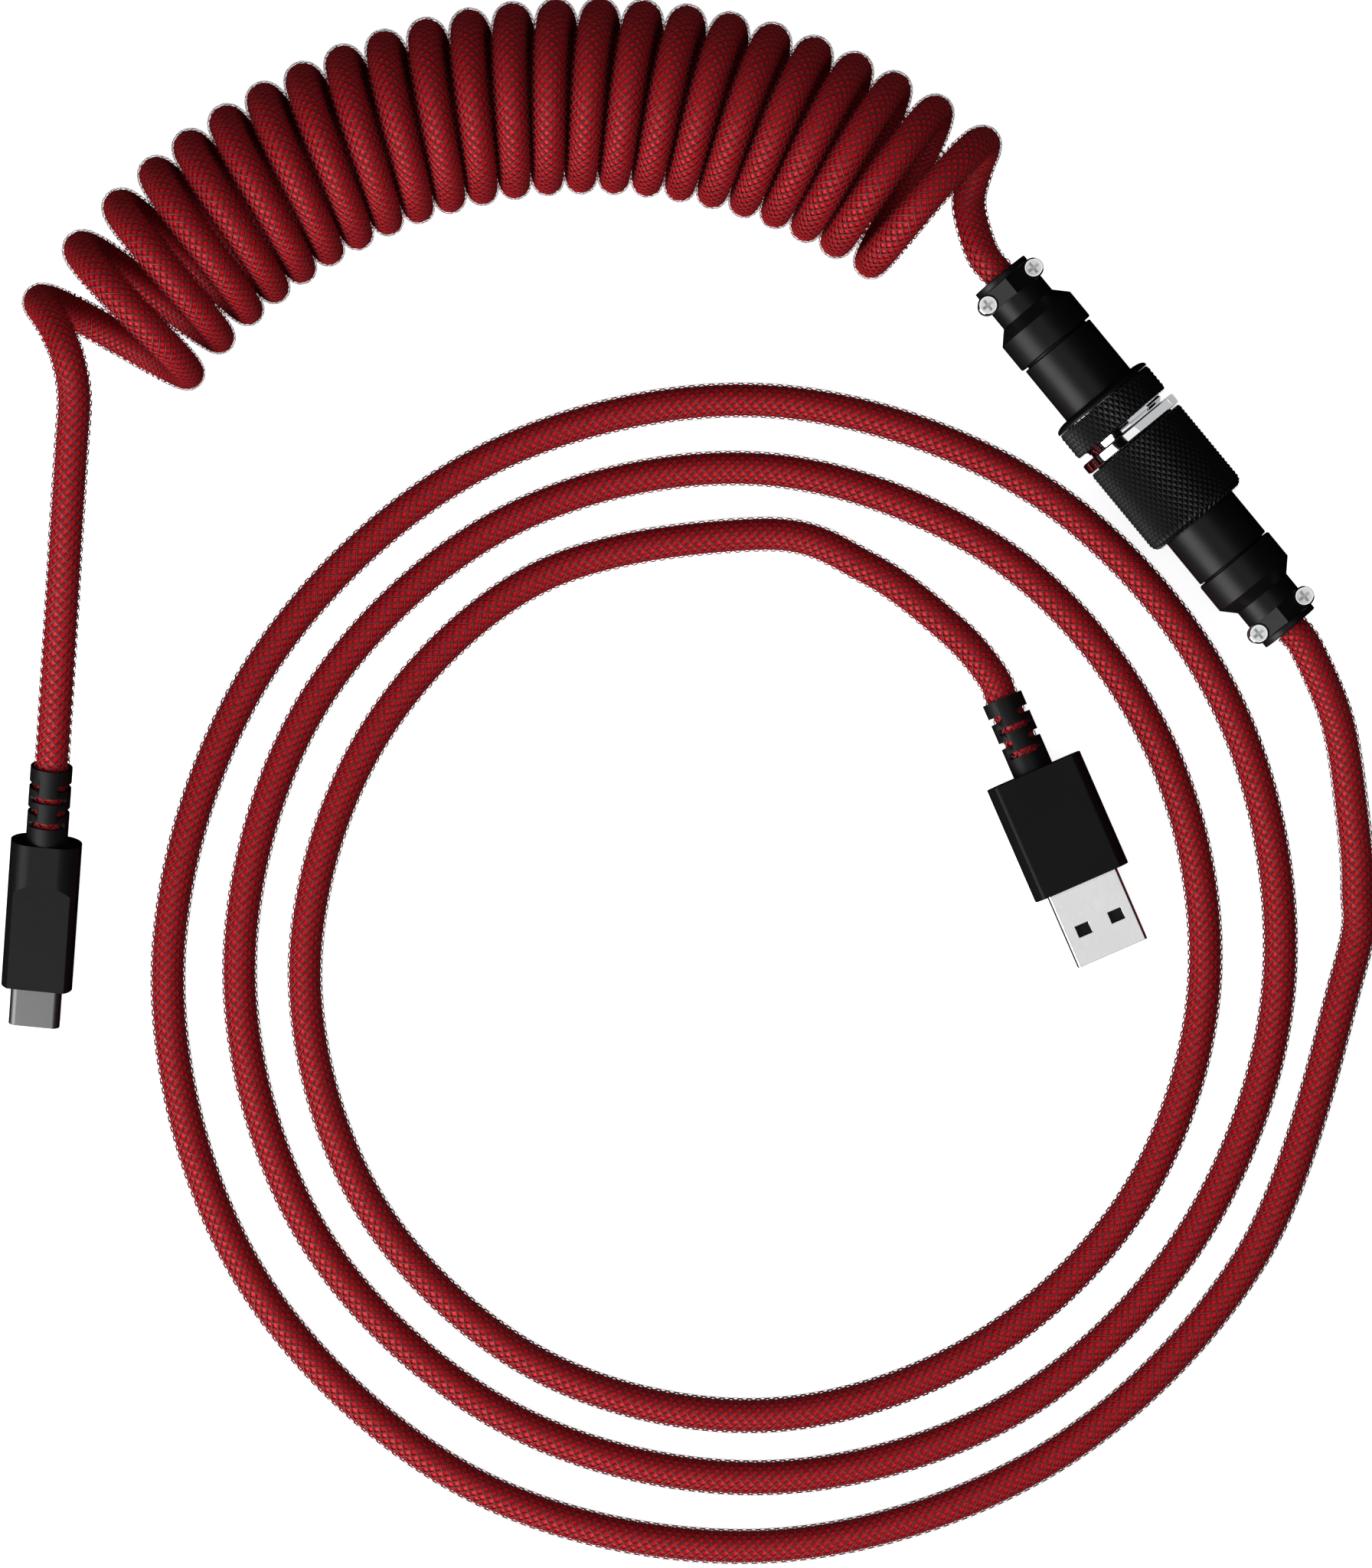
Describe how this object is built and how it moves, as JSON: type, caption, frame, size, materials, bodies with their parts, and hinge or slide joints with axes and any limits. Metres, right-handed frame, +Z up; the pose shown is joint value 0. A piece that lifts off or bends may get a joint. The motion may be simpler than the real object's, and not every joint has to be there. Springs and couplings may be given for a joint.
{
  "type": "coiled charging cable",
  "caption": "Coiled charging and data cable: USB-C plug, curly stretch, inline screw coupler, and a cord laid in a spiral to a USB-A plug.",
  "frame": {"origin": "on the surface that the cable lies on, under the middle of the inline coupler", "axes": "+Z up from the surface; +X and +Y in the surface, with the coupler's axis 50.5 degrees below +X"},
  "size_m": [0.2204, 0.2499, 0.0314],
  "materials": {
    "black_metal": "satin black anodised",
    "knurled_black": "knurled satin black anodised",
    "chrome": "polished plating",
    "screw_chrome": "bright plated cross-head screws",
    "steel": "plain steel",
    "plug_steel": "satin nickel-plated steel",
    "gold": "gold-plated contacts",
    "insulator": "dark heat-proof resin",
    "black_plastic": "fine matt moulding",
    "black_rubber": "soft matt moulding",
    "cream_plastic": "unpainted inner moulding",
    "board": "green solder mask",
    "wire": "insulated wire",
    "jacket": "flexible jacket",
    "fabric_red": "red woven sleeve under an open dark mesh sleeve"
  },
  "bodies": {
    "plug_half": {"plug_tail_shell": "black_metal", "plug_clamp_saddle": "black_metal", "plug_clamp_screws": "screw_chrome", "plug_barrel": "black_metal", "plug_shell": "chrome", "plug_insulator": "insulator", "plug_pins": "gold", "plug_cable_end": "fabric_red", "plug_wires": "wire", "spiral_cord": "fabric_red", "usb_a_body": "black_plastic", "usb_a_inner_mould": "cream_plastic", "usb_a_shell": "plug_steel", "usb_a_tongue": "black_plastic", "usb_a_contacts": "gold", "usb_a_cable_end": "jacket", "usb_a_relief": "black_rubber"},
    "sleeve_carriage": {"retaining_ring": "steel"},
    "sleeve": {"coupling_sleeve": "knurled_black"},
    "socket_half": {"socket_tail_shell": "black_metal", "socket_clamp_saddle": "black_metal", "socket_clamp_screws": "screw_chrome", "socket_barrel": "black_metal", "socket_shell": "chrome", "socket_insulator": "insulator", "socket_contacts": "gold", "socket_cable_end": "fabric_red", "socket_wires": "wire", "link_cord": "fabric_red", "curly_coil": "fabric_red", "usb_c_lead": "fabric_red", "usb_c_body": "black_plastic", "usb_c_inner_mould": "cream_plastic", "usb_c_shell": "plug_steel", "usb_c_insulator": "insulator", "usb_c_contacts": "gold", "usb_c_board": "board", "usb_c_cable_end": "jacket", "usb_c_relief": "black_rubber"},
    "washer_carriage": {"lock_washer": "steel"},
    "lock_ring_body": {"lock_ring": "knurled_black"}
  },
  "joints": [
    {"name": "sleeve_travel", "type": "slide", "parent": "plug_half", "child": "sleeve_carriage", "axis": [0.6361, -0.7716, 0], "range_m": [0, 0.006]},
    {"name": "sleeve_turn", "type": "hinge", "parent": "sleeve_carriage", "child": "sleeve", "pos_m": [0, 0, 0.0092], "axis": [0.6361, -0.7716, 0], "range_deg": [0, 2160]},
    {"name": "socket_pull", "type": "slide", "parent": "plug_half", "child": "socket_half", "axis": [-0.6361, 0.7716, 0], "range_m": [0, 0.014]},
    {"name": "lock_ring_travel", "type": "slide", "parent": "socket_half", "child": "washer_carriage", "axis": [0.6361, -0.7716, 0], "range_m": [0, 0.001]},
    {"name": "lock_ring_turn", "type": "hinge", "parent": "washer_carriage", "child": "lock_ring_body", "pos_m": [0, 0, 0.0092], "axis": [0.6361, -0.7716, 0], "range_deg": [0, 360]}
  ],
  "couplings": [
    {"joint": "sleeve_travel", "follows": "sleeve_turn", "m_per_rad": 0.000159},
    {"joint": "lock_ring_travel", "follows": "lock_ring_turn", "m_per_rad": 0.000159}
  ]
}
